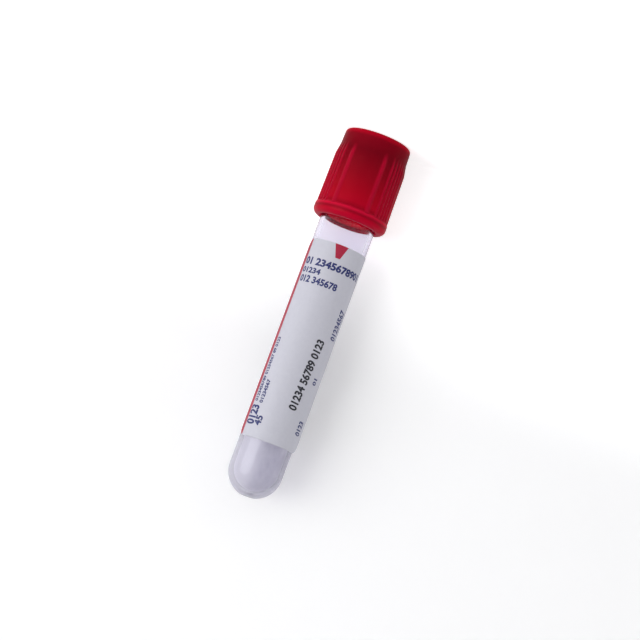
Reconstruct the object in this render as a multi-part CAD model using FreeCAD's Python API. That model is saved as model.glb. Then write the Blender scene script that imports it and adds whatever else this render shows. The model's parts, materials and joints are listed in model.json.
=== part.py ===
import FreeCAD, Part
import math
import os
from FreeCAD import Placement, Rotation, Vector

# A blood collection tube, stoppered, standing on its cap. Sizes are in millimetres.
#
# Each piece is first made with the cap up: the tube's axis is +Z, the lowest point of its round
# end is z = 0, and the label's middle faces +X. Angles run from +X towards +Y. A tube that is
# laid down rolls, and it can't stand on its round end, so at the end the whole row is turned
# over and stands on the flat top of its cap.

# ---- the tube: one clear moulding, slightly tapered so that it leaves its mould ----
TUBE_LENGTH = 75.0
MOUTH_OUTER_DIA = 12.3
DOME_OUTER_DIA = 11.7
MOUTH_WALL = 0.9
DOME_WALL = 1.0
FLOOR_THICKNESS = 1.4          # thickest at the round end, where the plastic enters the mould
RIM_ROUND = 0.3
GATE_MARK_DIA = 3.2            # shallow dish left where the plastic entered the mould
GATE_MARK_DEPTH = 0.12         # below the dish's own edge

# ---- the label: paper, part of the way round ----
LABEL_LENGTH = 44.8
LABEL_HEIGHT = 12.0            # height of its lower edge above the tube's round end
LABEL_THICKNESS = 0.12
LABEL_GLUE = 0.04              # gap that the adhesive fills
LABEL_START_ANGLE = -80.0
LABEL_WRAP_ANGLE = 150.0       # as far as the label hugs the tube
LABEL_FREE_ANGLE = 24.0        # the last stretch, which starts to lift
LABEL_LIFT_RADIUS = 60.0       # how gently that stretch curves at the label's lower edge
LABEL_CORNER_ROUND = 2.0

# ---- the stopper: moulded rubber, its plug inside the tube and its head above the rim ----
PLUG_REACH = 12.0              # how far the plug goes down inside the tube
PLUG_CLEARANCE = 0.05
PLUG_TAPER_HEIGHT = 0.5
PLUG_TAPER_DEPTH = 0.25
PLUG_CUP_DIA = 5.4             # hollow in the plug's lower end
PLUG_CUP_DEPTH = 5.0
NEEDLE_WELL_DIA = 6.6          # hollow in the head's top, where a needle goes in
NEEDLE_WELL_DEPTH = 3.0
NEEDLE_WELL_NARROWING = 0.5
HEAD_CLEARANCE = 0.05
RUBBER_ROUND = 0.4

# ---- the cap: a plastic safety shield round the stopper, with a skirt over the tube ----
CAP_ABOVE_RIM = 7.3            # cap's top above the tube's rim
CAP_HEIGHT = 19.8
CAP_TOP_DIA = 14.7
CAP_NECK_DIA = 14.95           # lower end of the plain ring at the top
CAP_NECK_DEPTH = 3.4           # depth of that end below the cap's top
CAP_SHOULDER_DIA = 15.45       # smooth wall just under the shoulder
CAP_SHOULDER_DEPTH = 6.0
CAP_WALL_DIA = 15.75           # smooth wall just above the collar
COLLAR_DIA = 16.4
COLLAR_HEIGHT = 2.3
COLLAR_LEDGE_HEIGHT = 0.5      # slope from the collar in to the wall above it
COLLAR_LOWER_ROUND = 1.4
COLLAR_UPPER_ROUND = 0.25
CAP_TOP_ROUND = 0.8
CAP_BEND_ROUND = 1.5           # softening of the shoulder's two bends
LIP_THICKNESS = 1.5            # roof over the edge of the stopper
PORT_DIA = 8.8                 # hole in the roof, over the needle well
PORT_ROUND = 0.5
STOPPER_CHAMBER_DIA = 13.4
SKIRT_CLEARANCE = 0.3          # between the skirt and the tube
SKIRT_MOUTH_ROUND = 0.15

# ---- grip ribs on the cap: three groups with a smooth panel between them ----
RIB_GROUPS = 3
FIRST_PANEL_ANGLE = -6.7       # middle of the panel nearest to the label's middle
FINE_RIBS = 5
FINE_RIB_PITCH = 7.5           # degrees
EDGE_RIB_OFFSET = 32.0         # degrees from the middle of a group to each of its two outer ribs
RIB_WIDTH = 0.72
RIB_HEIGHT = 0.2
RIB_ROOT = 0.3                 # how far a rib's root runs into the wall

MOUTH_BORE_DIA = MOUTH_OUTER_DIA - 2 * MOUTH_WALL
DOME_BORE_DIA = DOME_OUTER_DIA - 2 * DOME_WALL
SKIRT_BORE_DIA = MOUTH_OUTER_DIA + 2 * SKIRT_CLEARANCE
CAP_TOP = TUBE_LENGTH + CAP_ABOVE_RIM
CAP_BOTTOM = CAP_TOP - CAP_HEIGHT
LIP_UNDERSIDE = CAP_TOP - LIP_THICKNESS
COLLAR_TOP = CAP_BOTTOM + COLLAR_HEIGHT
PLUG_BOTTOM = TUBE_LENGTH - PLUG_REACH


def tangent_slope(run, reach, offset):
    """Angle of the line that passes `offset` from a point and meets `reach` at `run` from it."""
    return math.asin(-offset / math.hypot(run, reach)) + math.atan2(reach, run)


DOME_RADIUS = DOME_OUTER_DIA / 2
BORE_DOME_RADIUS = DOME_BORE_DIA / 2
BORE_DOME_CENTRE = FLOOR_THICKNESS + BORE_DOME_RADIUS
WALL_SLOPE = tangent_slope(TUBE_LENGTH - DOME_RADIUS, MOUTH_OUTER_DIA / 2, DOME_RADIUS)
BORE_SLOPE = tangent_slope(TUBE_LENGTH - BORE_DOME_CENTRE, MOUTH_BORE_DIA / 2, BORE_DOME_RADIUS)


def wall_radius(height):
    """Outer radius of the tube at a height on its tapered stretch."""
    return MOUTH_OUTER_DIA / 2 - (TUBE_LENGTH - height) * math.tan(WALL_SLOPE)


def bore_radius(height):
    """Inner radius of the tube at a height on its tapered stretch."""
    return MOUTH_BORE_DIA / 2 - (TUBE_LENGTH - height) * math.tan(BORE_SLOPE)


def outline(corners):
    """Closed wire in the XZ plane through (radius, height, rounding) corners."""
    points = [Vector(radius, 0, height) for radius, height, rounding in corners]
    runs = []
    for index, (radius, height, rounding) in enumerate(corners):
        here = points[index]
        back = (points[index - 1] - here).normalize()
        ahead = (points[(index + 1) % len(points)] - here).normalize()
        if rounding == 0:
            runs.append((here, here, here))
            continue
        half = back.getAngle(ahead) / 2
        centre = here + (back + ahead).normalize() * (rounding / math.sin(half))
        start = here + back * (rounding / math.tan(half))
        end = here + ahead * (rounding / math.tan(half))
        middle = centre + (here - centre).normalize() * rounding
        runs.append((start, middle, end))
    edges = []
    for index, (start, middle, end) in enumerate(runs):
        if not start.isEqual(end, 1e-7):
            edges.append(Part.Arc(start, middle, end).toShape())
        following = runs[(index + 1) % len(runs)][0]
        if not end.isEqual(following, 1e-7):
            edges.append(Part.LineSegment(end, following).toShape())
    return Part.Wire(edges)


def turned(wire):
    """Solid of revolution about the tube's axis."""
    return Part.Face(wire).revolve(Vector(0, 0, 0), Vector(0, 0, 1), 360)


def dome(radius, centre_height, slope):
    """Round end that runs tangent into a tapered wall: a ball, and the cone's height on it."""
    ball = Part.makeSphere(radius, Vector(0, 0, centre_height))
    seam_height = centre_height - radius * math.sin(slope)
    return ball, seam_height


def closed_taper(mouth_radius, top_height, radius, centre_height, slope):
    """Tapered round bar with a ball end, from which the tube and its bore are made."""
    ball, seam_height = dome(radius, centre_height, slope)
    seam_radius = radius * math.cos(slope)
    cone = Part.makeCone(seam_radius, mouth_radius, top_height - seam_height, Vector(0, 0, seam_height))
    return cone.fuse(ball).removeSplitter()


def gate_mark():
    """Ball that leaves the shallow dish: it meets the round end in a circle of the mark's diameter."""
    half = GATE_MARK_DIA / 2
    edge_height = DOME_RADIUS - math.sqrt(DOME_RADIUS ** 2 - half ** 2)
    radius = (half ** 2 + GATE_MARK_DEPTH ** 2) / (2 * GATE_MARK_DEPTH)
    return Part.makeSphere(radius, Vector(0, 0, edge_height + GATE_MARK_DEPTH - radius))


def clear_tube():
    outside = closed_taper(MOUTH_OUTER_DIA / 2, TUBE_LENGTH, DOME_RADIUS, DOME_RADIUS, WALL_SLOPE)
    inside = closed_taper(MOUTH_BORE_DIA / 2, TUBE_LENGTH, BORE_DOME_RADIUS, BORE_DOME_CENTRE, BORE_SLOPE)
    tube = outside.cut(inside)
    rim = [edge for edge in tube.Edges if abs(edge.BoundBox.ZMin - TUBE_LENGTH) < 1e-3]
    tube = tube.makeFillet(RIM_ROUND, rim)
    return tube.cut(gate_mark())


def direction(angle):
    """Unit vector away from the axis at an angle in degrees."""
    return Vector(math.cos(math.radians(angle)), math.sin(math.radians(angle)), 0)


def label_inner_radius(height):
    return wall_radius(height) + LABEL_GLUE


def hugging_part(bottom, top):
    """The stretch of label that is glued down: a thin wall turned part of the way round the axis."""
    corners = []
    for height, offset in ((bottom, 0), (bottom, LABEL_THICKNESS), (top, LABEL_THICKNESS), (top, 0)):
        corners.append(Vector(label_inner_radius(height) + offset, 0, height))
    wall = Part.Face(Part.makePolygon(corners + corners[:1]))
    wall.rotate(Vector(0, 0, 0), Vector(0, 0, 1), LABEL_START_ANGLE)
    return wall.revolve(Vector(0, 0, 0), Vector(0, 0, 1), LABEL_WRAP_ANGLE)


def free_section(height, bend_radius):
    """The label's last stretch cut across at a height: it leaves the tube on an arc of that radius."""
    inner = label_inner_radius(height)
    start_angle = LABEL_START_ANGLE + LABEL_WRAP_ANGLE
    turn = LABEL_FREE_ANGLE * inner / bend_radius
    centre = Vector(0, 0, height) + direction(start_angle) * (inner - bend_radius)
    points = []
    for radius in (bend_radius, bend_radius + LABEL_THICKNESS):
        for share in (0, 0.5, 1):
            points.append(centre + direction(start_angle + turn * share) * radius)
    inside = Part.Arc(points[0], points[1], points[2]).toShape()
    edge = Part.LineSegment(points[2], points[5]).toShape()
    outside = Part.Arc(points[5], points[4], points[3]).toShape()
    seam = Part.LineSegment(points[3], points[0]).toShape()
    return Part.Wire([inside, edge, outside, seam])


def corner_waste(angle, height, side, end):
    """What rounding takes off a label corner: a square post less a round one, set radially.

    The post is twice as wide as the round, so that it reaches past both edges of the label.
    """
    size = LABEL_CORNER_ROUND
    reach = MOUTH_OUTER_DIA
    post = Part.makeBox(2 * size, 2 * size, reach)
    waste = post.cut(Part.makeCylinder(size, reach))
    outward = direction(angle)
    along = Vector(0, 0, 1) * end
    sideways = Vector(-outward.y, outward.x, 0) * side
    corner_centre = Vector(0, 0, height) - along * size - sideways * size
    frame = FreeCAD.Matrix(
        sideways.x, along.x, outward.x, corner_centre.x,
        sideways.y, along.y, outward.y, corner_centre.y,
        sideways.z, along.z, outward.z, corner_centre.z,
        0, 0, 0, 1)
    return waste.transformGeometry(frame)


def paper_label():
    bottom = LABEL_HEIGHT
    top = LABEL_HEIGHT + LABEL_LENGTH
    sections = [free_section(bottom, LABEL_LIFT_RADIUS), free_section(top, label_inner_radius(top))]
    free_part = Part.makeLoft(sections, True, True)
    label = hugging_part(bottom, top).fuse(free_part).removeSplitter()
    free_edge = LABEL_START_ANGLE + LABEL_WRAP_ANGLE + LABEL_FREE_ANGLE
    wastes = []
    for height, end in ((bottom, -1), (top, 1)):
        wastes.append(corner_waste(LABEL_START_ANGLE, height, -1, end))
        wastes.append(corner_waste(free_edge, height, 1, end))
    return label.cut(wastes)


def rubber_stopper():
    well = NEEDLE_WELL_DIA / 2
    cup = PLUG_CUP_DIA / 2
    head = STOPPER_CHAMBER_DIA / 2 - HEAD_CLEARANCE
    taper_top = PLUG_BOTTOM + PLUG_TAPER_HEIGHT
    return turned(outline([
        (0, LIP_UNDERSIDE - NEEDLE_WELL_DEPTH, 0),
        (well - NEEDLE_WELL_NARROWING, LIP_UNDERSIDE - NEEDLE_WELL_DEPTH, RUBBER_ROUND),
        (well, LIP_UNDERSIDE, RUBBER_ROUND),
        (head, LIP_UNDERSIDE, 0),
        (head, TUBE_LENGTH, 0),
        (bore_radius(TUBE_LENGTH) - PLUG_CLEARANCE - RIM_ROUND, TUBE_LENGTH, 0),
        (bore_radius(TUBE_LENGTH - RIM_ROUND) - PLUG_CLEARANCE, TUBE_LENGTH - RIM_ROUND, 0),
        (bore_radius(taper_top) - PLUG_CLEARANCE, taper_top, RUBBER_ROUND),
        (bore_radius(PLUG_BOTTOM) - PLUG_CLEARANCE - PLUG_TAPER_DEPTH, PLUG_BOTTOM, RUBBER_ROUND),
        (cup, PLUG_BOTTOM, RUBBER_ROUND),
        (cup, PLUG_BOTTOM + PLUG_CUP_DEPTH, RUBBER_ROUND),
        (0, PLUG_BOTTOM + PLUG_CUP_DEPTH, 0),
    ]))


def cap_wall_dia(height):
    """Diameter of the cap's smooth wall between the collar and the shoulder."""
    ledge_top = COLLAR_TOP + COLLAR_LEDGE_HEIGHT
    shoulder = CAP_TOP - CAP_SHOULDER_DEPTH
    share = (height - ledge_top) / (shoulder - ledge_top)
    return CAP_WALL_DIA + (CAP_SHOULDER_DIA - CAP_WALL_DIA) * share


def rib_section(angle, height, surface_radius):
    """A rib cut across: a low round back on a root that runs into the wall."""
    out = direction(angle)
    half_across = Vector(-out.y, out.x, 0) * (RIB_WIDTH / 2)
    middle = out * surface_radius + Vector(0, 0, height)
    left = middle - half_across
    right = middle + half_across
    back = Part.Arc(left, middle + out * RIB_HEIGHT, right).toShape()
    root = Part.makePolygon([right, right - out * RIB_ROOT, left - out * RIB_ROOT, left])
    return Part.Wire([back, *root.Edges])


def rib(angle):
    """A grip rib that rises out of the shoulder and runs down into the collar."""
    shoulder = CAP_TOP - CAP_SHOULDER_DEPTH
    neck = CAP_TOP - CAP_NECK_DEPTH
    foot = COLLAR_TOP
    sections = [
        rib_section(angle, foot, cap_wall_dia(foot) / 2),
        rib_section(angle, shoulder, CAP_SHOULDER_DIA / 2),
        rib_section(angle, neck, CAP_NECK_DIA / 2 - RIB_HEIGHT),
    ]
    return Part.makeLoft(sections, True, True)


def rib_angles():
    """Each group has fine ribs in its middle and one wide-set rib at each side."""
    group_turn = 360 / RIB_GROUPS
    fine = [(index - (FINE_RIBS - 1) / 2) * FINE_RIB_PITCH for index in range(FINE_RIBS)]
    offsets = [-EDGE_RIB_OFFSET, *fine, EDGE_RIB_OFFSET]
    for group in range(RIB_GROUPS):
        middle = FIRST_PANEL_ANGLE + group_turn * (group + 0.5)
        for offset in offsets:
            yield middle + offset


def safety_cap():
    skirt = SKIRT_BORE_DIA / 2
    collar = COLLAR_DIA / 2
    chamber = STOPPER_CHAMBER_DIA / 2
    port = PORT_DIA / 2
    shell = turned(outline([
        (skirt, CAP_BOTTOM, SKIRT_MOUTH_ROUND),
        (collar, CAP_BOTTOM, COLLAR_LOWER_ROUND),
        (collar, COLLAR_TOP, COLLAR_UPPER_ROUND),
        (CAP_WALL_DIA / 2, COLLAR_TOP + COLLAR_LEDGE_HEIGHT, 0),
        (CAP_SHOULDER_DIA / 2, CAP_TOP - CAP_SHOULDER_DEPTH, CAP_BEND_ROUND),
        (CAP_NECK_DIA / 2, CAP_TOP - CAP_NECK_DEPTH, CAP_BEND_ROUND),
        (CAP_TOP_DIA / 2, CAP_TOP, CAP_TOP_ROUND),
        (port, CAP_TOP, PORT_ROUND),
        (port, LIP_UNDERSIDE, 0),
        (chamber, LIP_UNDERSIDE, 0),
        (chamber, TUBE_LENGTH, 0),
        (skirt, TUBE_LENGTH, 0),
    ]))
    ribs = [rib(angle) for angle in rib_angles()]
    return shell.fuse(ribs).removeSplitter()


def resting_place():
    """Stands the row on its cap: the round end up, the label's middle towards -Y."""
    cap_down = Rotation(Vector(1, 0, 0), 180)
    label_forward = Rotation(Vector(0, 0, 1), -90)
    return Placement(Vector(0, 0, CAP_TOP), label_forward.multiply(cap_down))


def export(pieces):
    place = resting_place()
    os.makedirs("parts", exist_ok=True)
    for name, shape in pieces.items():
        stood = shape.copy()
        stood.transformShape(place.toMatrix(), True)
        print(name, stood.ShapeType, "valid" if stood.isValid() else "not valid", round(stood.Volume, 2))
        stood.exportStep("parts/" + name + ".step")


export({
    "clear_tube": clear_tube(),
    "paper_label": paper_label(),
    "rubber_stopper": rubber_stopper(),
    "safety_cap": safety_cap(),
})
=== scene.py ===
# %% [markdown]
# # A blood collection tube that stands on its cap
#
# The real object has four pieces: a clear plastic tube, a paper label glued part of the way
# round it, a rubber stopper in its mouth, and a red plastic cap that holds the stopper and
# reaches over the mouth. The frame is the model that fixes their sizes and places. It is
# loaded first, and everything made here is fitted to it.

# %% Load the frame
import json
import math

import bmesh
import bpy
from mathutils import Matrix, Vector


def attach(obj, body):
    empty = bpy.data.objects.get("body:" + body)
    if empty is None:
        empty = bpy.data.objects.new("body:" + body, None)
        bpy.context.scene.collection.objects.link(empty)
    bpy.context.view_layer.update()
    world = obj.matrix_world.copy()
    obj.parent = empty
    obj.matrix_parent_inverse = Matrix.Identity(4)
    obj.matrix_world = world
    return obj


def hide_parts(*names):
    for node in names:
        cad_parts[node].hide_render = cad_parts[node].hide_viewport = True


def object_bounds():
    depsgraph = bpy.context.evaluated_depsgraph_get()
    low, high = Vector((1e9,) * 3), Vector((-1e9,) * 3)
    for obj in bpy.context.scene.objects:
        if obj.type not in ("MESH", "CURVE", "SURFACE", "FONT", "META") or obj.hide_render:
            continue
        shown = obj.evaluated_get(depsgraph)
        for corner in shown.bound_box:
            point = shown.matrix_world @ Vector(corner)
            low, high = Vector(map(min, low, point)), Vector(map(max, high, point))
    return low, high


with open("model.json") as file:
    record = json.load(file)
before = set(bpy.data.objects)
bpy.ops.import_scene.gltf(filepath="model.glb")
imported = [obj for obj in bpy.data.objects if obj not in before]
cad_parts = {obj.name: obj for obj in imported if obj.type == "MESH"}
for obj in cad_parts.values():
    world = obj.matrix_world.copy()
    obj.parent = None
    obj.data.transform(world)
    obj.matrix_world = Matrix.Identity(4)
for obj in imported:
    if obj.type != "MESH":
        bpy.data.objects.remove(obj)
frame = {"nodes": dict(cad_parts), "record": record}
CAD_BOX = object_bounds()
print("the CAD box runs from", CAD_BOX[0], "to", CAD_BOX[1])

# %% [markdown]
# The tube's round end can't stand, and a tube that lies down rolls, so the whole thing rests on
# its cap, with the round end up. That is an odd way to think of a tube. So the pieces are made
# with the cap up, in millimetres, with the round end at height 0 and the label's middle facing
# +X. One matrix, worked out from the frame, then shrinks them to metres and turns them over.
# The axis runs from the round end to the cap, which is the way the hole in the cap's top faces.

# %% The matrix that turns a piece over
MM = 0.001
TUBE_LENGTH = 75.0
LABEL_WAY = Vector((0, -1, 0))      # which way the middle of the label faces

mounts = {mount["name"]: mount for mount in frame["record"]["mounts"]}
AXIS = Vector(mounts["needle_port"]["axis"]).normalized()
ON_AXIS = Vector(mounts["needle_port"]["pos_m"])


def heights(node):
    """Lowest and highest place of a CAD node along the axis, in millimetres from ON_AXIS."""
    vertices = frame["nodes"][node].data.vertices
    places = [(vertex.co - ON_AXIS).dot(AXIS) / MM for vertex in vertices]
    return min(places), max(places)


RIM = heights("clear_tube")[1]
ROUND_END = ON_AXIS + AXIS * (RIM - TUBE_LENGTH) * MM
TURN_OVER = (
    Matrix.Translation(ROUND_END)
    @ Matrix((LABEL_WAY, AXIS.cross(LABEL_WAY), AXIS)).transposed().to_4x4()
    @ Matrix.Scale(MM, 4)
)
print("the round end is at", ROUND_END, "and the axis runs along", AXIS)

# %% Where the pieces start and stop along the axis


def span(node):
    """Lowest and highest place of a CAD node above the tube's round end, in millimetres."""
    return [place - RIM + TUBE_LENGTH for place in heights(node)]


LABEL_LOW, LABEL_HIGH = span("paper_label")
PLUG_LOW, STOPPER_TOP = span("rubber_stopper")
CAP_LOW, CAP_TOP = span("safety_cap")
print("label", LABEL_LOW, LABEL_HIGH, "stopper", PLUG_LOW, STOPPER_TOP, "cap", CAP_LOW, CAP_TOP)

# %% [markdown]
# The tube, the stopper and the cap are all turned shapes. A lathe makes such a shape from its
# half section, and so does Blender's spin operator. The section starts as one flat face with
# sharp corners. A vertex bevel rounds each corner that is round on the real thing, and then
# only the outline is kept and turned.

# %% A half section with rounded corners
ARC_STEP = 5.0        # degrees of a rounded corner to each of its edges
TOUCHING = 0.0001     # millimetres, points closer than this are one point


def section(corners, arc_step=ARC_STEP):
    """The outline of a half section in XZ, from corners of (radius, height, rounding)."""
    bm = bmesh.new()
    verts = [bm.verts.new((radius, 0, height)) for radius, height, _ in corners]
    places = [vert.co.copy() for vert in verts]
    bm.faces.new(verts)
    for index, (_, _, rounding) in enumerate(corners):
        if rounding == 0:
            continue
        back = places[index - 1] - places[index]
        ahead = places[(index + 1) % len(places)] - places[index]
        corner_angle = back.angle(ahead)
        bmesh.ops.bevel(
            bm, geom=[verts[index]], affect="VERTICES", profile=0.5, material=-1,
            offset=rounding / math.tan(corner_angle / 2),
            segments=max(2, round((180 - math.degrees(corner_angle)) / arc_step)))
    bmesh.ops.remove_doubles(bm, verts=bm.verts[:], dist=TOUCHING)
    bmesh.ops.delete(bm, geom=bm.faces[:], context="FACES_ONLY")
    on_axis = [edge for edge in bm.edges if all(abs(vert.co.x) < TOUCHING for vert in edge.verts)]
    bmesh.ops.delete(bm, geom=on_axis, context="EDGES")
    return bm


# %% Turning it on the lathe, and putting the piece in its place


def turn(bm, steps):
    """Spins an outline all the way round the axis, and closes the poles."""
    bmesh.ops.spin(
        bm, geom=bm.verts[:] + bm.edges[:], cent=(0, 0, 0), axis=(0, 0, 1), dvec=(0, 0, 0),
        angle=math.tau, steps=steps, use_merge=True, use_normal_flip=False, use_duplicate=False)
    bmesh.ops.remove_doubles(bm, verts=bm.verts[:], dist=TOUCHING)
    bmesh.ops.recalc_face_normals(bm, faces=bm.faces[:])


def placed_piece(bm, name, sharp_from=30.0):
    """Makes a mesh an object, in its place and smooth, with edges kept where it turns sharply."""
    mesh = bpy.data.meshes.new(name)
    bm.to_mesh(mesh)
    bm.free()
    mesh.transform(TURN_OVER)
    mesh.polygons.foreach_set("use_smooth", [True] * len(mesh.polygons))
    mesh.set_sharp_from_angle(angle=math.radians(sharp_from))
    piece = bpy.data.objects.new(name, mesh)
    bpy.context.scene.collection.objects.link(piece)
    print(name, "has", len(mesh.polygons), "faces")
    return piece


# %% [markdown]
# The tube is one clear moulding. It widens a little from its round end to its mouth, so that it
# leaves the mould, and its floor is thicker than its wall. Light bends at the outside and again
# at the bore, so both have to be there, and the round end needs many fine rings. The wall runs
# tangent into the round end: a corner whose rounding reaches the axis gives exactly that.

# %% The tube's wall
MOUTH_OUTER, DOME_OUTER = 6.15, 5.85      # radii
MOUTH_WALL, DOME_WALL = 0.9, 1.0
FLOOR = 1.4
RIM_ROUND = 0.3
MOUTH_BORE = MOUTH_OUTER - MOUTH_WALL
DOME_BORE = DOME_OUTER - DOME_WALL


def taper(mouth_radius, dome_radius, low):
    """How much a wall that runs tangent into its round end widens to each millimetre of height."""
    run = TUBE_LENGTH - low - dome_radius
    slope = math.asin(-dome_radius / math.hypot(run, mouth_radius)) + math.atan2(mouth_radius, run)
    return math.tan(slope)


def wall_radius(height):
    """Outer radius of the tube's straight part at a height."""
    return MOUTH_OUTER - (TUBE_LENGTH - height) * taper(MOUTH_OUTER, DOME_OUTER, 0)


def bore_radius(height):
    """Inner radius of the same."""
    return MOUTH_BORE - (TUBE_LENGTH - height) * taper(MOUTH_BORE, DOME_BORE, FLOOR)


HALF_WAY = TUBE_LENGTH / 2
print("the wall is", wall_radius(HALF_WAY) - bore_radius(HALF_WAY), "mm thick half way up")

# %% The clear tube
FINE_ARC_STEP = 2.0                       # degrees
TUBE_STEPS = 144                          # steps of the lathe to one turn

tube_mesh = section([
    (0, 0, 0),
    (wall_radius(0), 0, DOME_OUTER),
    (MOUTH_OUTER, TUBE_LENGTH, RIM_ROUND),
    (MOUTH_BORE, TUBE_LENGTH, RIM_ROUND),
    (bore_radius(FLOOR), FLOOR, DOME_BORE),
    (0, FLOOR, 0),
], arc_step=FINE_ARC_STEP)
turn(tube_mesh, TUBE_STEPS)

# %% [markdown]
# Plastic enters the mould at the middle of the round end and leaves a shallow dish there. The
# points of the round end that lie inside the mark are pushed up on to the dish. The bore will
# get a finish of its own, so its faces are given the second material here, up to the plug.

# %% The mark where the plastic came in
GATE_MARK, GATE_DEPTH = 1.6, 0.12         # radius and depth
OUTSIDE, BORE = range(2)                  # the tube's two materials

dish_edge = DOME_OUTER - math.sqrt(DOME_OUTER ** 2 - GATE_MARK ** 2)
dish_radius = (GATE_MARK ** 2 + GATE_DEPTH ** 2) / (2 * GATE_DEPTH)
for vert in tube_mesh.verts:
    out = math.hypot(vert.co.x, vert.co.y)
    if out < GATE_MARK and vert.co.z < FLOOR / 2:
        vert.co.z = dish_edge + GATE_DEPTH - dish_radius + math.sqrt(dish_radius ** 2 - out ** 2)

# %% The tube, with its bore told apart
for face in tube_mesh.faces:
    middle = face.calc_center_median()
    inward = face.normal.dot((middle.x, middle.y, min(0, middle.z - FLOOR - DOME_BORE))) < 0
    face.material_index = BORE if inward and middle.z < PLUG_LOW else OUTSIDE
tube = placed_piece(tube_mesh, "tube_wall", sharp_from=60)
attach(tube, "tube")
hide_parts("clear_tube")

# %% [markdown]
# The stopper is moulded rubber. Its plug fills the tube's mouth and tapers in at its lower end,
# which has a hollow in it. Its head stands on the rim, and the well in its top is where a needle
# goes in. The plug's end shows through the clear wall just inside the cap, so it needs its true
# outline. It is squeezed against the bore with no air between, which is why its colour shows
# clear and deep: the piece here presses a hair into the wall, where the rigid model stays a hair
# away from it.

# %% The rubber stopper
PLUG_SQUEEZE = 0.02
PLUG_TAPER_HEIGHT, PLUG_TAPER_DEPTH = 0.5, 0.25
PLUG_CUP, PLUG_CUP_DEPTH = 2.7, 5.0               # the hollow in the plug's end
WELL, WELL_DEPTH, WELL_NARROWING = 3.3, 3.0, 0.5  # where the needle goes in
CHAMBER = 6.7                       # the room in the cap for the stopper's head
HEAD_CLEARANCE = 0.05               # between the stopper's head and the cap's chamber
RUBBER_ROUND = 0.4
STOPPER_STEPS = 128

head = CHAMBER - HEAD_CLEARANCE
plug_side = bore_radius(TUBE_LENGTH - RIM_ROUND) + PLUG_SQUEEZE
taper_top = PLUG_LOW + PLUG_TAPER_HEIGHT
stopper_mesh = section([
    (0, STOPPER_TOP - WELL_DEPTH, 0),
    (WELL - WELL_NARROWING, STOPPER_TOP - WELL_DEPTH, RUBBER_ROUND),
    (WELL, STOPPER_TOP, RUBBER_ROUND),
    (head, STOPPER_TOP, 0),
    (head, TUBE_LENGTH, 0),
    (plug_side - RIM_ROUND, TUBE_LENGTH, 0),
    (plug_side, TUBE_LENGTH - RIM_ROUND, 0),
    (bore_radius(taper_top) + PLUG_SQUEEZE, taper_top, RUBBER_ROUND),
    (bore_radius(PLUG_LOW) + PLUG_SQUEEZE - PLUG_TAPER_DEPTH, PLUG_LOW, RUBBER_ROUND),
    (PLUG_CUP, PLUG_LOW, RUBBER_ROUND),
    (PLUG_CUP, PLUG_LOW + PLUG_CUP_DEPTH, RUBBER_ROUND),
    (0, PLUG_LOW + PLUG_CUP_DEPTH, 0),
])
turn(stopper_mesh, STOPPER_STEPS)
stopper = placed_piece(stopper_mesh, "stopper_rubber")
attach(stopper, "closure")
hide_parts("rubber_stopper")

# %% [markdown]
# The cap is turned too, but for its grip ribs. They could be separate bars sunk into the wall,
# which would leave a hard crease along each root. On the real cap they swell out of the wall in
# one moulding. So the cap is spun in many narrow steps, and the points of its wall are moved
# outwards where a rib runs. Long edges of its outline are cut short first, so that a rib can
# rise slowly out of the shoulder.

# %% The cap's outline
COLLAR, COLLAR_HEIGHT = 8.2, 2.3
LEDGE = 0.5                         # height of the slope between the collar and the wall
WALL_FOOT, SHOULDER, NECK, TOP = 7.875, 7.725, 7.475, 7.35
SHOULDER_DEPTH, NECK_DEPTH = 6.0, 3.4
SKIRT_CLEARANCE = 0.3               # between the cap's skirt and the tube's mouth
PORT = 4.4
LIP_ROUND, COLLAR_LOW_ROUND, COLLAR_TOP_ROUND, FOOT_ROUND = 0.15, 1.4, 0.25, 0.3
WALL_ROUND, TOP_ROUND, PORT_ROUND = 1.5, 0.8, 0.5

skirt = MOUTH_OUTER + SKIRT_CLEARANCE
collar_top = CAP_LOW + COLLAR_HEIGHT
shoulder_height = CAP_TOP - SHOULDER_DEPTH
neck_height = CAP_TOP - NECK_DEPTH
cap_mesh = section([
    (skirt, CAP_LOW, LIP_ROUND),
    (COLLAR, CAP_LOW, COLLAR_LOW_ROUND),
    (COLLAR, collar_top, COLLAR_TOP_ROUND),
    (WALL_FOOT, collar_top + LEDGE, FOOT_ROUND),
    (SHOULDER, shoulder_height, WALL_ROUND),
    (NECK, neck_height, WALL_ROUND),
    (TOP, CAP_TOP, TOP_ROUND),
    (PORT, CAP_TOP, PORT_ROUND),
    (PORT, STOPPER_TOP, 0),
    (CHAMBER, STOPPER_TOP, 0),
    (CHAMBER, TUBE_LENGTH, 0),
    (skirt, TUBE_LENGTH, 0),
])
print("the cap's outline has", len(cap_mesh.edges), "edges")

# %% Fine rings for the ribs
RING = 0.35                         # longest edge left on the outside
CAP_STEPS = 600


def on_outside(vert):
    """Whether a point is on the cap's outside, where the ribs are."""
    return math.hypot(vert.co.x, vert.co.y) >= CHAMBER + RING


for edge in [edge for edge in cap_mesh.edges if all(on_outside(vert) for vert in edge.verts)]:
    cuts = math.ceil(edge.calc_length() / RING) - 1
    if cuts:
        bmesh.ops.subdivide_edges(cap_mesh, edges=[edge], cuts=cuts)
turn(cap_mesh, CAP_STEPS)
print("the cap has", len(cap_mesh.verts), "points before its ribs are raised")

# %% Where the ribs run
RIB_GROUPS = 3
FIRST_PANEL = -6.7                  # degrees, the middle of the smooth panel that faces the front
FINE_RIBS, FINE_PITCH = 5, 7.5
EDGE_RIB = 32.0                     # degrees from a group's middle to the rib at each side
FINE_HALF_WIDTH, EDGE_HALF_WIDTH = 0.5, 0.8
RIB_HEIGHT = 0.2

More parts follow.
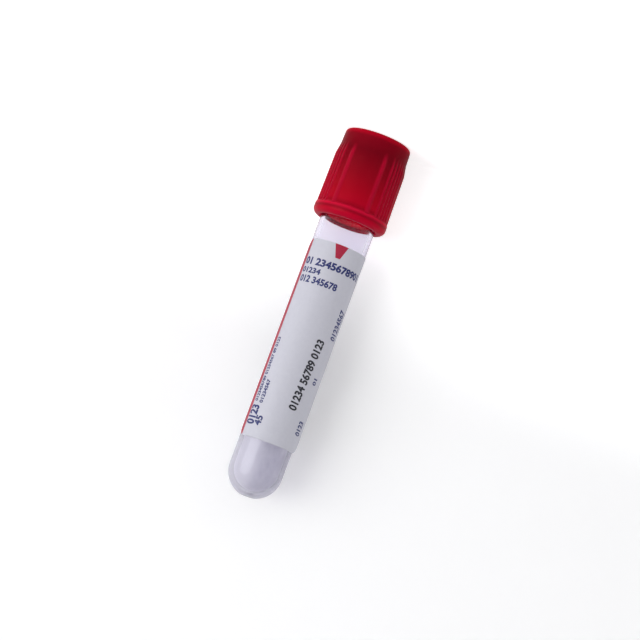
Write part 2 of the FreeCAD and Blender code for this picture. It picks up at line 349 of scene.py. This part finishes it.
first_rib = -(FINE_RIBS - 1) / 2 * FINE_PITCH
group_of_ribs = [(first_rib + index * FINE_PITCH, FINE_HALF_WIDTH) for index in range(FINE_RIBS)]
group_of_ribs += [(-EDGE_RIB, EDGE_HALF_WIDTH), (EDGE_RIB, EDGE_HALF_WIDTH)]
ribs = [
    (FIRST_PANEL + 360 / RIB_GROUPS * (group + 0.5) + offset, half_width)
    for group in range(RIB_GROUPS)
    for offset, half_width in group_of_ribs
]
print("ribs at", sorted(round(angle % 360, 1) for angle, _ in ribs))

# %% Raise the ribs


def cap_wall(height):
    """Radius of the smooth wall that the ribs stand on."""
    share = (height - collar_top - LEDGE) / (shoulder_height - collar_top - LEDGE)
    return WALL_FOOT + (SHOULDER - WALL_FOOT) * share


def rib_rise(angle, height):
    """How far a rib lifts the wall: a soft ridge across, which fades out towards the neck."""
    across = min(
        math.radians(abs((angle - rib + 180) % 360 - 180)) * SHOULDER / half_width
        for rib, half_width in ribs)
    if across >= 1:
        return 0
    fade = min(1, max(0, (neck_height - height) / (neck_height - shoulder_height)))
    return RIB_HEIGHT * fade * (1 + math.cos(math.pi * across)) / 2


ridge = cap_mesh.verts.layers.float.new("ridge")
for vert in cap_mesh.verts:
    if not on_outside(vert) or not collar_top < vert.co.z < neck_height:
        continue
    out = math.hypot(vert.co.x, vert.co.y)
    rise = rib_rise(math.degrees(math.atan2(vert.co.y, vert.co.x)), vert.co.z)
    under = out if vert.co.z > shoulder_height else cap_wall(vert.co.z)
    raised = max(out, under + rise)
    vert[ridge] = rise / RIB_HEIGHT
    vert.co.x *= raised / out
    vert.co.y *= raised / out
cap = placed_piece(cap_mesh, "cap_shell", sharp_from=40)
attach(cap, "closure")
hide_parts("safety_cap")

# %% [markdown]
# The label is a strip of coated paper, glued down for most of its way round. Its last stretch
# has started to lift at the lower end. It is cut flat, as the printer does it: x runs round the
# tube, y is the height, and z is the distance off the glue. The flat sheet gets its rounded
# corners and its thickness, is cut into narrow strips that can bend, and is then wrapped.

# %% A flat sheet that can bend
PAPER, GLUE = 0.12, 0.04
HUG_START, HUG_END, FREE_END = -80.0, 70.0, 94.0       # degrees
CORNER, CORNER_SEGMENTS = 2.0, 10
ROLL = 6.0                    # radius at which a degree of the tube is a length of the flat sheet
STRIP, BAND = 2.0, 3.0        # degrees across, millimetres high


def flat_x(angle):
    """The place on the flat sheet that belongs to an angle round the tube."""
    return math.radians(angle) * ROLL


def cut_across(bm, place, along):
    """One straight cut through a flat mesh, at a place along x or y."""
    bmesh.ops.bisect_plane(
        bm, geom=bm.verts[:] + bm.edges[:] + bm.faces[:], dist=TOUCHING / 10,
        plane_co=Vector(along) * place, plane_no=along)


def flat_label():
    """The label's flat outline as one face, with its corners rounded."""
    bm = bmesh.new()
    width, height = flat_x(FREE_END - HUG_START), LABEL_HIGH - LABEL_LOW
    middle = Vector((flat_x((FREE_END + HUG_START) / 2), (LABEL_HIGH + LABEL_LOW) / 2, 0))
    size = Matrix.Translation(middle) @ Matrix.Diagonal((width, height, 1, 1))
    bmesh.ops.create_grid(bm, x_segments=1, y_segments=1, size=0.5, matrix=size)
    bmesh.ops.bevel(
        bm, geom=bm.verts[:], affect="VERTICES", offset=CORNER, segments=CORNER_SEGMENTS,
        profile=0.5, material=-1)
    return bm


def cut_into_strips(bm):
    """Cuts a flat mesh into strips narrow enough to bend round the tube."""
    for index in range(1, round((FREE_END - HUG_START) / STRIP)):
        cut_across(bm, flat_x(HUG_START + index * STRIP), (1, 0, 0))
    for index in range(1, math.ceil((LABEL_HIGH - LABEL_LOW) / BAND)):
        cut_across(bm, LABEL_LOW + index * BAND, (0, 1, 0))


print("laid flat, the label is", flat_x(FREE_END - HUG_START), "by", LABEL_HIGH - LABEL_LOW, "mm")

# %% Wrapping it round the tube
LIFT_RADIUS = 60.0            # how gently the free stretch curves at the label's lower edge


def away(angle):
    """Unit vector from the axis at an angle in degrees."""
    return Vector((math.cos(math.radians(angle)), math.sin(math.radians(angle)), 0))


def glued(angle, height, off):
    """A point of the stretch that is glued down, at a distance off the glue."""
    return away(angle) * (wall_radius(height) + GLUE + off) + Vector((0, 0, height))


def lifted(beyond, height, off, bend):
    """A point of the free stretch, which leaves the tube on an arc of radius `bend`."""
    inner = wall_radius(height) + GLUE
    turned = HUG_END + beyond * inner / bend
    return away(HUG_END) * (inner - bend) + away(turned) * (bend + off) + Vector((0, 0, height))


def wrap(bm):
    """Bends a flat mesh round the tube. Its free stretch hugs at the top and lifts lower down."""
    for vert in bm.verts:
        angle, height, off = math.degrees(vert.co.x / ROLL), vert.co.y, vert.co.z
        if angle <= HUG_END:
            vert.co = glued(angle, height, off)
            continue
        low = lifted(angle - HUG_END, LABEL_LOW, off, LIFT_RADIUS)
        high = lifted(angle - HUG_END, LABEL_HIGH, off, wall_radius(LABEL_HIGH) + GLUE)
        vert.co = low.lerp(high, (height - LABEL_LOW) / (LABEL_HIGH - LABEL_LOW))


# %% The paper
label_mesh = flat_label()
cut_into_strips(label_mesh)
bmesh.ops.solidify(label_mesh, geom=label_mesh.faces[:], thickness=PAPER)
lowest = min(vert.co.z for vert in label_mesh.verts)
bmesh.ops.translate(label_mesh, verts=label_mesh.verts[:], vec=(0, 0, -lowest))
wrap(label_mesh)
bmesh.ops.recalc_face_normals(label_mesh, faces=label_mesh.faces[:])
label = placed_piece(label_mesh, "label_paper")
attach(label, "tube")
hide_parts("paper_label")

# %% [markdown]
# The print is ink on the paper: a red stripe down one edge, a red wedge at the top that shows
# how far to fill, rows of dark blue and one row of black. Ink could be a colour on the label's
# own faces, but then every outline would have to be cut into the sheet. It is made instead as a
# film a hundredth of a millimetre above the paper, from flat shapes that go through the same
# wrapping. The rows say nothing: they are plain digits in counting order.

# %% Where the ink goes
INK_OFF = 0.01                      # above the paper
RED, BLUE, BLACK = range(3)         # the print's three materials


def at(angle, below_top, turned=0.0):
    """A place on the flat label, by its angle round the tube and how far it is below the top."""
    spot = Matrix.Translation((flat_x(angle), LABEL_HIGH - below_top, 0))
    return spot @ Matrix.Rotation(math.radians(turned), 4, "Z")


# %% The red stripe
STRIPE_END = -65.0

print_mesh = flat_label()
bmesh.ops.bisect_plane(
    print_mesh, geom=print_mesh.verts[:] + print_mesh.edges[:] + print_mesh.faces[:],
    plane_co=(flat_x(STRIPE_END), 0, 0), plane_no=(1, 0, 0), clear_outer=True)
print("the stripe is", flat_x(STRIPE_END - HUG_START), "mm wide")

# %% The red wedge
WEDGE_WAY = 5                       # degrees
WEDGE_TOP, WEDGE_FOOT, WEDGE_HEIGHT = 2.9, 1.0, 3.0

wedge = bmesh.ops.create_grid(
    print_mesh, x_segments=1, y_segments=1, size=0.5,
    matrix=at(WEDGE_WAY, WEDGE_HEIGHT / 2) @ Matrix.Diagonal((WEDGE_TOP, WEDGE_HEIGHT, 1, 1)))
foot = [vert for vert in wedge["verts"] if vert.co.y < LABEL_HIGH - WEDGE_HEIGHT / 2]
bmesh.ops.scale(
    print_mesh, verts=foot, vec=(WEDGE_FOOT / WEDGE_TOP, 1, 1),
    space=at(WEDGE_WAY, 0).inverted())
for face in print_mesh.faces:
    face.material_index = RED
print("there are", len(print_mesh.faces), "red shapes")

# %% [markdown]
# The digits are a text object in Blender's own plain font, turned into a mesh and stretched to
# the height and length of their row. An offset thickens the strokes, because thin strokes fade
# away in print as small as this.

# %% A row of digits


def print_digits(digits, tall, run, place, ink_colour, heavier):
    """Prints a row so high and so long, from its lower left corner."""
    curve = bpy.data.curves.new("digits", "FONT")
    curve.body = digits
    curve.offset = heavier
    curve.resolution_u = 4
    text = bpy.data.objects.new("digits", curve)
    bpy.context.scene.collection.objects.link(text)
    bpy.context.view_layer.update()
    shaped = text.evaluated_get(bpy.context.evaluated_depsgraph_get())
    flat = bpy.data.meshes.new_from_object(shaped)
    bpy.data.objects.remove(text)
    left = min(vertex.co.x for vertex in flat.vertices)
    right = max(vertex.co.x for vertex in flat.vertices)
    top = max(vertex.co.y for vertex in flat.vertices)
    fit = Matrix.Diagonal((run / (right - left), tall / top, 1, 1))
    flat.transform(place @ fit @ Matrix.Translation((-left, 0, 0)))
    before = set(print_mesh.faces)
    print_mesh.from_mesh(flat)
    for face in set(print_mesh.faces) - before:
        face.material_index = ink_colour


# %% The rows of digits
ROWS = [
    # digits, height, length, angle, below the top, turned, ink, heavier
    ("01 2345678901", 1.6, 14.1, -63, 5.7, 0, BLUE, 0.045),
    ("01234", 1.2, 4.8, -63, 7.6, 0, BLUE, 0.04),
    ("012 345678", 1.5, 9.0, -61, 9.7, 0, BLUE, 0.04),
    ("01234 56789 0123", 1.9, 16.1, 34, 36.6, 87, BLACK, 0.04),
    ("01234567", 2.1, 6.9, 74, 19.5, 90, BLUE, 0.04),
    ("01", 1.2, 1.5, 63, 29.9, 90, BLUE, 0.04),
    ("0123", 2.1, 3.2, 76, 41.1, 90, BLUE, 0.04),
    ("0123456789 01234567 89 0123", 0.95, 14.5, -53, 37.1, 90, BLUE, 0.04),
    ("01234567", 0.95, 5.3, -38, 37.3, 90, BLUE, 0.04),
    ("0123", 2.3, 4.3, -42, 42.2, 90, BLUE, 0.04),
    ("45", 1.6, 2.2, -25, 42.1, 90, BLUE, 0.04),
]
for digits, tall, run, angle, below_top, turned, ink_colour, heavier in ROWS:
    print_digits(digits, tall, run, at(angle, below_top, turned), ink_colour, heavier)
print("the print has", len(print_mesh.faces), "faces before it is cut to bend")

# %% The printed film
cut_into_strips(print_mesh)
for vert in print_mesh.verts:
    vert.co.z = PAPER + INK_OFF
wrap(print_mesh)
label_print = placed_piece(print_mesh, "label_print")
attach(label_print, "tube")

# %% [markdown]
# The finishes come next. Each is made of nodes that read the piece's own Object coordinates, so
# a pattern has its real size and stays on the piece when it moves. Two patterns do most of the
# work: a little noise in the colour and roughness, which no real surface is without, and a
# little of it as bump. Colours are written as they look on a screen and turned into light.

# %% Colours, and a new finish


def shade(red, green, blue):
    """A colour as a screen shows it, 0 to 255, turned into the light it stands for."""
    light = []
    for level in (red / 255, green / 255, blue / 255):
        light.append(level / 12.92 if level < 0.04 else ((level + 0.055) / 1.055) ** 2.4)
    return light + [1]


def new_finish(name):
    """A new material, its node tree and its Principled shader."""
    material = bpy.data.materials.new(name)
    material.use_nodes = True
    print("finish:", name)
    return material, material.node_tree, material.node_tree.nodes["Principled BSDF"]


def feed(tree, value, socket):
    """Sets a socket to a value, or links it to another socket."""
    if isinstance(value, bpy.types.NodeSocket):
        tree.links.new(value, socket)
    else:
        socket.default_value = value


# %% Patterns


def speckle(tree, cell, detail=3.0, stretch=(1, 1, 1)):
    """Noise with cells of a size in millimetres, longer along axes where `stretch` is under 1."""
    place = tree.nodes.new("ShaderNodeTexCoord")
    grid = tree.nodes.new("ShaderNodeMapping")
    grid.inputs["Scale"].default_value = [share / (cell * MM) for share in stretch]
    noise = tree.nodes.new("ShaderNodeTexNoise")
    noise.inputs["Scale"].default_value = 1
    noise.inputs["Detail"].default_value = detail
    tree.links.new(place.outputs["Object"], grid.inputs["Vector"])
    tree.links.new(grid.outputs["Vector"], noise.inputs["Vector"])
    return noise.outputs["Fac"]


def place_along(tree, axis):
    """The Object coordinate along one axis."""
    place = tree.nodes.new("ShaderNodeTexCoord")
    split = tree.nodes.new("ShaderNodeSeparateXYZ")
    tree.links.new(place.outputs["Object"], split.inputs["Vector"])
    return split.outputs[axis]


def ranged(tree, pattern, start, end, low=0.0, high=1.0, change="LINEAR"):
    """A number that goes from `low` to `high` while a pattern goes from `start` to `end`."""
    spread = tree.nodes.new("ShaderNodeMapRange")
    spread.interpolation_type = change
    for name, value in zip(("From Min", "From Max", "To Min", "To Max"), (start, end, low, high)):
        spread.inputs[name].default_value = value
    tree.links.new(pattern, spread.inputs["Value"])
    return spread.outputs["Result"]


def mixed(tree, share, first, second):
    """A colour between two colours, either of which may be a socket."""
    mix = tree.nodes.new("ShaderNodeMix")
    mix.data_type = "RGBA"
    for name, value in zip(("Factor", "A", "B"), (share, first, second)):
        feed(tree, value, mix.inputs[name])
    return mix.outputs["Result"]


# %% Patterns put to work
NOISE_LOW, NOISE_HIGH = 0.3, 0.7          # noise seldom leaves the middle of its range


def vary_colour(tree, shader, cell, first, second, detail=3.0):
    """Mottles a finish's colour between two colours."""
    colour = mixed(tree, speckle(tree, cell, detail), first, second)
    tree.links.new(colour, shader.inputs["Base Color"])


def vary_roughness(tree, shader, cell, low, high):
    """Varies a finish's roughness between two numbers."""
    roughness = ranged(tree, speckle(tree, cell), NOISE_LOW, NOISE_HIGH, low, high)
    tree.links.new(roughness, shader.inputs["Roughness"])


def add_bump(tree, shader, cell, height, detail=3.0):
    """A fine bump, with its cells and its height in millimetres."""
    bump = tree.nodes.new("ShaderNodeBump")
    bump.inputs["Distance"].default_value = height * MM
    tree.links.new(speckle(tree, cell, detail), bump.inputs["Height"])
    tree.links.new(bump.outputs["Normal"], shader.inputs["Normal"])


# %% [markdown]
# The tube is a clear polyester with a faint violet grey cast. The index is set lower than the
# real one: at the real one, each face of the wall mirrors some of the white studio, and together
# they veil the red plug behind them. The shadow needs care too. A renderer that follows light
# through a clear solid by chance gives a dark, noisy shadow, so for shadow rays alone the plastic
# is a plain tinted film.

# %% Clear plastic
PLASTIC_IOR, PLASTIC_SPECULAR = 1.3, 0.15
SHADOW_FILM = shade(236, 234, 241)


def film_where(tree, shader, share, colour):
    """Makes a finish a see-through film of a colour where a share is 1."""
    film = tree.nodes.new("ShaderNodeBsdfTransparent")
    feed(tree, colour, film.inputs["Color"])
    choice = tree.nodes.new("ShaderNodeMixShader")
    tree.links.new(share, choice.inputs["Fac"])
    tree.links.new(shader.outputs["BSDF"], choice.inputs[1])
    tree.links.new(film.outputs["BSDF"], choice.inputs[2])
    tree.links.new(choice.outputs["Shader"], tree.nodes["Material Output"].inputs["Surface"])


def ray_kind(tree, kind):
    """What the Light Path node says of the light that is being followed."""
    return tree.nodes.new("ShaderNodeLightPath").outputs[kind]


clear, tree, shader = new_finish("clear_plastic")
shader.inputs["Base Color"].default_value = shade(216, 214, 228)
shader.inputs["Transmission Weight"].default_value = 1
shader.inputs["IOR"].default_value = PLASTIC_IOR
shader.inputs["Specular IOR Level"].default_value = PLASTIC_SPECULAR
vary_roughness(tree, shader, 4.0, 0.04, 0.08)
film_where(tree, shader, ray_kind(tree, "Is Shadow Ray"), SHADOW_FILM)
tube.data.materials.append(clear)

# %% [markdown]
# The inside is not as clear. It was sprayed with something that helps the blood to clot, and
# that dried on the bore as a pale bloom, thicker towards the round end where it ran down. Grey
# blotches towards the side away from the key lamp are painted shade. So the bore has a finish of
# its own: part of it lets light through, and the rest is dull. Both changes follow the place,
# read from Object coordinates.

# %% Heights and sums for the bloom


def z_of(height):
    """The Object coordinate along Z of a height above the tube's round end."""
    return (ROUND_END + AXIS * height * MM).z


def share_between(tree, start, full):
    """0 at one height above the round end and 1 at another, with a smooth change between."""
    return ranged(
        tree, place_along(tree, "Z"), z_of(start), z_of(full), change="SMOOTHSTEP")


def combined(tree, way, first, second):
    """A Math node's result for two numbers, either of which may be a socket."""
    result = tree.nodes.new("ShaderNodeMath")
    result.operation = way
    feed(tree, first, result.inputs[0])
    feed(tree, second, result.inputs[1])
    return result.outputs["Value"]


# %% The bloom inside, with painted shade on one side
BLOOM_FROM, BLOOM_FULL = 30.0, 10.0            # heights above the round end
UNSHADED_SIDE, PAINTED_SHADE_SIDE = 1.9, -1.1              # millimetres along X
THIN_ROUGHNESS, THICK_ROUGHNESS = 0.05, 0.3
THIN_CLEARNESS, THICK_CLEARNESS = 1.0, 0.62
EVEN_GREY = 0.04                               # the greyness between the blotches

bloom, tree, shader = new_finish("clear_plastic_bloom")
shader.inputs["IOR"].default_value = PLASTIC_IOR
shader.inputs["Specular IOR Level"].default_value = PLASTIC_SPECULAR
dried = share_between(tree, BLOOM_FROM, BLOOM_FULL)
roughness = ranged(tree, dried, 0, 1, THIN_ROUGHNESS, THICK_ROUGHNESS)
tree.links.new(roughness, shader.inputs["Roughness"])
clearness = ranged(tree, dried, 0, 1, THIN_CLEARNESS, THICK_CLEARNESS)
tree.links.new(clearness, shader.inputs["Transmission Weight"])
# Painted shade: grey blotches that grow towards the side away from the key lamp.
toward_painted_shade = ranged(
    tree, place_along(tree, "X"), UNSHADED_SIDE * MM, PAINTED_SHADE_SIDE * MM, change="SMOOTHSTEP")
painted_shade_blotches = combined(tree, "MULTIPLY", toward_painted_shade, speckle(tree, 1.4, stretch=(1, 1, 0.6)))
grey_and_painted_shade = combined(tree, "MULTIPLY", dried, combined(tree, "ADD", painted_shade_blotches, EVEN_GREY))
colour = mixed(tree, grey_and_painted_shade, shade(252, 252, 253), shade(196, 195, 206))
tree.links.new(colour, shader.inputs["Base Color"])
bloom_film = mixed(tree, dried, SHADOW_FILM, shade(158, 156, 166))
film_where(tree, shader, ray_kind(tree, "Is Shadow Ray"), bloom_film)
tube.data.materials.append(bloom)
print("the tube's finishes:", [material.name for material in tube.data.materials])

# %% [markdown]
# The cap is a slightly translucent plastic in a deep red. Its surface came off a mould that was
# blasted, so it has a fine grain and a broad, weak gloss. Its colour carries painted light along
# its height: painted shade that deepens towards the top, a painted highlight at the thin top edge
# and along the collar's ledge, and painted shade just above and below the ledge. The crests of
# the ribs get a painted highlight too. The ribs' height was left on the mesh as an attribute.

# %% Red along the cap, with painted light
# Painted shade at 0.08 and 0.145 around a painted highlight on the ledge at 0.11, painted shade
# from 0.50 to 0.78 towards the top, and a painted highlight at the top edge.
CAP_RED_AND_PAINTED_LIGHT = [
    # share of the way from the skirt's mouth to the top, colour with painted light
    (0.00, shade(190, 8, 46)),
    (0.05, shade(184, 2, 38)),
    (0.08, shade(146, 0, 28)),
    (0.11, shade(210, 14, 54)),
    (0.145, shade(154, 0, 27)),
    (0.19, shade(178, 0, 32)),
    (0.28, shade(172, 0, 28)),
    (0.50, shade(148, 0, 24)),
    (0.78, shade(120, 0, 20)),
    (0.93, shade(136, 0, 24)),
    (1.00, shade(214, 4, 40)),
]

red_cap, tree, shader = new_finish("red_plastic")
up_the_cap = ranged(tree, place_along(tree, "Z"), z_of(CAP_LOW), z_of(CAP_TOP))
red_and_painted_light = tree.nodes.new("ShaderNodeValToRGB")
tree.links.new(up_the_cap, red_and_painted_light.inputs["Fac"])
while len(red_and_painted_light.color_ramp.elements) < len(CAP_RED_AND_PAINTED_LIGHT):
    red_and_painted_light.color_ramp.elements.new(1)
for stop, (position, colour) in zip(red_and_painted_light.color_ramp.elements, CAP_RED_AND_PAINTED_LIGHT):
    stop.position = position
    stop.color = colour
print("the cap's colour has", len(red_and_painted_light.color_ramp.elements), "stops")

# %% Red plastic
CREST_FROM = 0.7                    # share of a rib's height from which it counts as its crest

ridge_height = tree.nodes.new("ShaderNodeAttribute")
ridge_height.attribute_name = "ridge"
# Painted highlight: the crests of the ribs are lighter.
crest_highlight = ranged(tree, ridge_height.outputs["Fac"], 0, CREST_FROM)
colour = mixed(tree, crest_highlight, red_and_painted_light.outputs["Color"], shade(174, 6, 42))
tree.links.new(colour, shader.inputs["Base Color"])
shader.inputs["Specular IOR Level"].default_value = 0.05
vary_roughness(tree, shader, 0.8, 0.30, 0.42)
add_bump(tree, shader, 0.12, 0.004, detail=2.0)
cap.data.materials.append(red_cap)

# %% [markdown]
# The stopper's rubber is dull and has no gloss of its own. It shows only through the tube's wall
# and through the hole in the cap, where less light reaches it, so its red is a bright one.

# %% Red rubber
rubber, tree, shader = new_finish("red_rubber")
vary_colour(tree, shader, 1.5, shade(224, 4, 38), shade(232, 8, 46))
vary_roughness(tree, shader, 0.5, 0.5, 0.68)
shader.inputs["Specular IOR Level"].default_value = 0
add_bump(tree, shader, 0.2, 0.006)
stopper.data.materials.append(rubber)

# %% [markdown]
# The label's paper is coated, so it is nearly smooth, with a soft sheen and the faint mottle of
# its fibres. Its glued back, which shows through the clear side of the tube, is made a much
# lighter white than its front: painted light, which makes up for the shade inside the tube. The
# inks lie on the paper with the same mottle, a little glossier.

# %% Paper
paper, tree, shader = new_finish("label_paper")
vary_colour(tree, shader, 0.7, shade(197, 197, 208), shade(205, 205, 215), detail=5.0)
vary_roughness(tree, shader, 0.5, 0.42, 0.55)
shader.inputs["Specular IOR Level"].default_value = 0.3
add_bump(tree, shader, 0.15, 0.004, detail=4.0)
label.data.materials.append(paper)

# %% The label's back, lightened with painted light
lightened_paper_back, tree, shader = new_finish("label_back_lightened")
# Painted light: a much lighter copy of the paper, making up for the shade inside the tube.
vary_colour(tree, shader, 1.0, shade(240, 240, 243), shade(246, 246, 248))
shader.inputs["Roughness"].default_value = 0.7
label.data.materials.append(lightened_paper_back)
back_slot = len(label.data.materials) - 1
for polygon in label.data.polygons:
    outwards = polygon.center * Vector((1, 1, 0))
    if polygon.normal.dot(outwards) < 0:
        polygon.material_index = back_slot
print("the label's finishes:", [material.name for material in label.data.materials])

# %% Inks


def ink(name, thin, thick):
    """An ink that covers the paper a little unevenly."""
    material, tree, shader = new_finish(name)
    vary_colour(tree, shader, 0.25, thin, thick, detail=4.0)
    vary_roughness(tree, shader, 0.5, 0.35, 0.48)
    return material


label_print.data.materials.append(ink("red_ink", shade(178, 20, 62), shade(164, 10, 50)))
label_print.data.materials.append(ink("blue_ink", shade(44, 52, 118), shade(26, 34, 96)))
label_print.data.materials.append(ink("black_ink", shade(48, 47, 58), shade(28, 28, 36)))
print("the print's finishes:", [material.name for material in label_print.data.materials])

# %% [markdown]
# The tube stands on a pale sheet that curves up behind it, as a photographer's sweep does. The
# background should be white without more light on the object, so the sheet adds a little glow
# that is seen by the camera, straight or through the clear plastic, and by no other light. Beside
# the round end the shadow stays, because it is where the lamps' light is missing. Light that has
# already bounced off something dull doesn't see the glow, or the clear tube would pass it on and
# light its own shadow. Mirrored light doesn't see it either, so that the wall's faces don't veil
# what is behind them. The glow is stronger by the cap than by the round end: painted light that
# washes out the cap's shadow on the sheet and leaves the shadow beside the round end. The glow
# also grows far away, where the lamps don't reach the sheet. From behind, the sheet is
# see-through, so that it hides the object from no side.

# %% Light that is only looked at
WHITE = (1, 1, 1, 1)


def seen_not_lit(tree):
    """1 for what the camera sees, straight or through clear things, and 0 for all other light."""
    undimmed = combined(tree, "LESS_THAN", ray_kind(tree, "Diffuse Depth"), 1)
    through = combined(tree, "MULTIPLY", ray_kind(tree, "Is Transmission Ray"), undimmed)
    return combined(tree, "MAXIMUM", ray_kind(tree, "Is Camera Ray"), through)


# %% The sweep's shape
SWEEP_WIDTH = 3.0
SWEEP_REACH = 1.5                   # how far it runs out in front, and how high it goes
BEHIND = 0.0086                     # from the tube's axis to the upright stretch
SWEEP_BEND, BEND_STEPS = 0.0022, 16

sweep_mesh = bmesh.new()
bend_foot = BEHIND - SWEEP_BEND
ends = [sweep_mesh.verts.new((side * SWEEP_WIDTH / 2, bend_foot, 0)) for side in (-1, 1)]
front_edge = sweep_mesh.edges.new(ends)
bent = bmesh.ops.spin(
    sweep_mesh, geom=ends + [front_edge], cent=(0, bend_foot, SWEEP_BEND), axis=(1, 0, 0),
    dvec=(0, 0, 0), angle=math.pi / 2, steps=BEND_STEPS, use_merge=False, use_normal_flip=False,
    use_duplicate=False)
top_edge = [item for item in bent["geom_last"] if isinstance(item, bmesh.types.BMEdge)]
for edges, way in ((top_edge, (0, 0, SWEEP_REACH)), ([front_edge], (0, -SWEEP_REACH, 0))):
    grown = bmesh.ops.extrude_edge_only(sweep_mesh, edges=edges)
    moved = [item for item in grown["geom"] if isinstance(item, bmesh.types.BMVert)]
    bmesh.ops.translate(sweep_mesh, verts=moved, vec=way)
bmesh.ops.recalc_face_normals(sweep_mesh, faces=sweep_mesh.faces[:])
if max(sweep_mesh.faces, key=lambda face: face.calc_area()).normal.dot((0, -1, 1)) < 0:
    bmesh.ops.reverse_faces(sweep_mesh, faces=sweep_mesh.faces[:])

# %% The sweep
sweep_data = bpy.data.meshes.new("sweep")
sweep_mesh.to_mesh(sweep_data)
sweep_mesh.free()
sweep_data.polygons.foreach_set("use_smooth", [True] * len(sweep_data.polygons))
sweep = bpy.data.objects.new("sweep", sweep_data)
bpy.context.scene.collection.objects.link(sweep)
print("the sweep has", len(sweep_data.polygons), "faces")

# %% What the sweep is made of
GLOW_BY_CAP, GLOW_BY_ROUND_END = 0.62, 0.19
BY_CAP, BY_ROUND_END = 72, 30       # heights between which the glow changes
GLOW_WAY_OFF = 0.7                  # added where the lamps' light no longer reaches the sheet
NEAR, WAY_OFF = 0.15, 0.5           # metres from the cap's foot, where that starts and is full

sweep_finish, tree, shader = new_finish("sweep")
shader.inputs["Base Color"].default_value = shade(244, 244, 245)
shader.inputs["Roughness"].default_value = 0.9
shader.inputs["Specular IOR Level"].default_value = 0.1
shader.inputs["Emission Color"].default_value = WHITE
# Painted light: the stronger glow by the cap washes out the cap's shadow on the sheet.
by_height = ranged(
    tree, share_between(tree, BY_CAP, BY_ROUND_END), 0, 1, GLOW_BY_CAP, GLOW_BY_ROUND_END)
distance_off = tree.nodes.new("ShaderNodeVectorMath")
distance_off.operation = "LENGTH"
place = tree.nodes.new("ShaderNodeTexCoord")
tree.links.new(place.outputs["Object"], distance_off.inputs[0])
by_distance = ranged(tree, distance_off.outputs["Value"], NEAR, WAY_OFF, 0, GLOW_WAY_OFF)
glow = combined(tree, "ADD", by_height, by_distance)
seen_glow = combined(tree, "MULTIPLY", glow, seen_not_lit(tree))
tree.links.new(seen_glow, shader.inputs["Emission Strength"])
side = tree.nodes.new("ShaderNodeNewGeometry")
film_where(tree, shader, side.outputs["Backfacing"], WHITE)
sweep.data.materials.append(sweep_finish)

# %% The sky
SKY_LIGHT, SKY_SEEN = 0.42, 1.0

sky = bpy.data.worlds.new("sky")
sky.use_nodes = True
bpy.context.scene.world = sky
tree = sky.node_tree
background = tree.nodes["Background"]
background.inputs["Color"].default_value = WHITE
strength = ranged(tree, seen_not_lit(tree), 0, 1, SKY_LIGHT, SKY_SEEN)
tree.links.new(strength, background.inputs["Strength"])
print("the sky lights with", SKY_LIGHT, "and is seen at", SKY_SEEN)

# %% [markdown]
# The camera has a long lens and looks at the label's middle, from a little towards the round
# end. It is rolled over, so that in the picture the cap is at the top and leans to the right.

# %% The camera
LENS, SENSOR = 135.0, 36.0
PICTURE_WIDTH = 0.137               # metres across the picture, at the object
TOWARDS_ROUND_END = math.radians(7.7)
LEAN = math.radians(20.4)
RIGHT_OF_MIDDLE, BELOW_MIDDLE = 0.0014, 0.0008

back = LABEL_WAY * math.cos(TOWARDS_ROUND_END) - AXIS * math.sin(TOWARDS_ROUND_END)
axis_seen = (AXIS - back * AXIS.dot(back)).normalized()
picture_up = axis_seen * math.cos(LEAN) - axis_seen.cross(back) * math.sin(LEAN)
picture_right = picture_up.cross(back)
middle = (CAD_BOX[0] + CAD_BOX[1]) / 2
target = middle + picture_right * RIGHT_OF_MIDDLE - picture_up * BELOW_MIDDLE
distance = PICTURE_WIDTH / 2 / (SENSOR / 2 / LENS)

camera = bpy.data.objects.new("camera", bpy.data.cameras.new("camera"))
camera.data.lens = LENS
camera.data.sensor_width = SENSOR
camera.matrix_world = (
    Matrix.Translation(target + back * distance)
    @ Matrix((picture_right, picture_up, back)).transposed().to_4x4()
)
bpy.context.scene.collection.objects.link(camera)
bpy.context.scene.camera = camera
print("the camera is", distance, "m away")

# %% [markdown]
# Two soft lamps light it. The key lamp is broad and stands to the left of the picture and in
# front of the tube, which puts the soft shadow at the right. The fill lamp is weak and comes
# from the other side, almost along the sheet, so that the tube's dark side isn't lost. It is
# hidden from reflections, where it would be a second bright streak on the plastic.

# %% The lamps
LAMP_DISTANCE = 0.8


def add_lamp(name, way, size, power):
    """A round soft lamp that shines at the target from one side."""
    lamp = bpy.data.objects.new(name, bpy.data.lights.new(name, "AREA"))
    lamp.data.shape = "DISK"
    lamp.data.size = size
    lamp.data.energy = power
    lamp.location = target + way.normalized() * LAMP_DISTANCE
    lamp.rotation_mode = "QUATERNION"
    lamp.rotation_quaternion = way.to_track_quat("Z", "Y")
    bpy.context.scene.collection.objects.link(lamp)
    print(name, "is at", lamp.location)
    return lamp


add_lamp("key_lamp", Vector((0.72, -0.68, 0.1)), size=0.75, power=5.15)
fill_lamp = add_lamp("fill_lamp", Vector((-0.985, -0.14, 0.1)), size=0.25, power=1.05)
fill_lamp.visible_glossy = False
bpy.context.scene.view_settings.view_transform = "Standard"
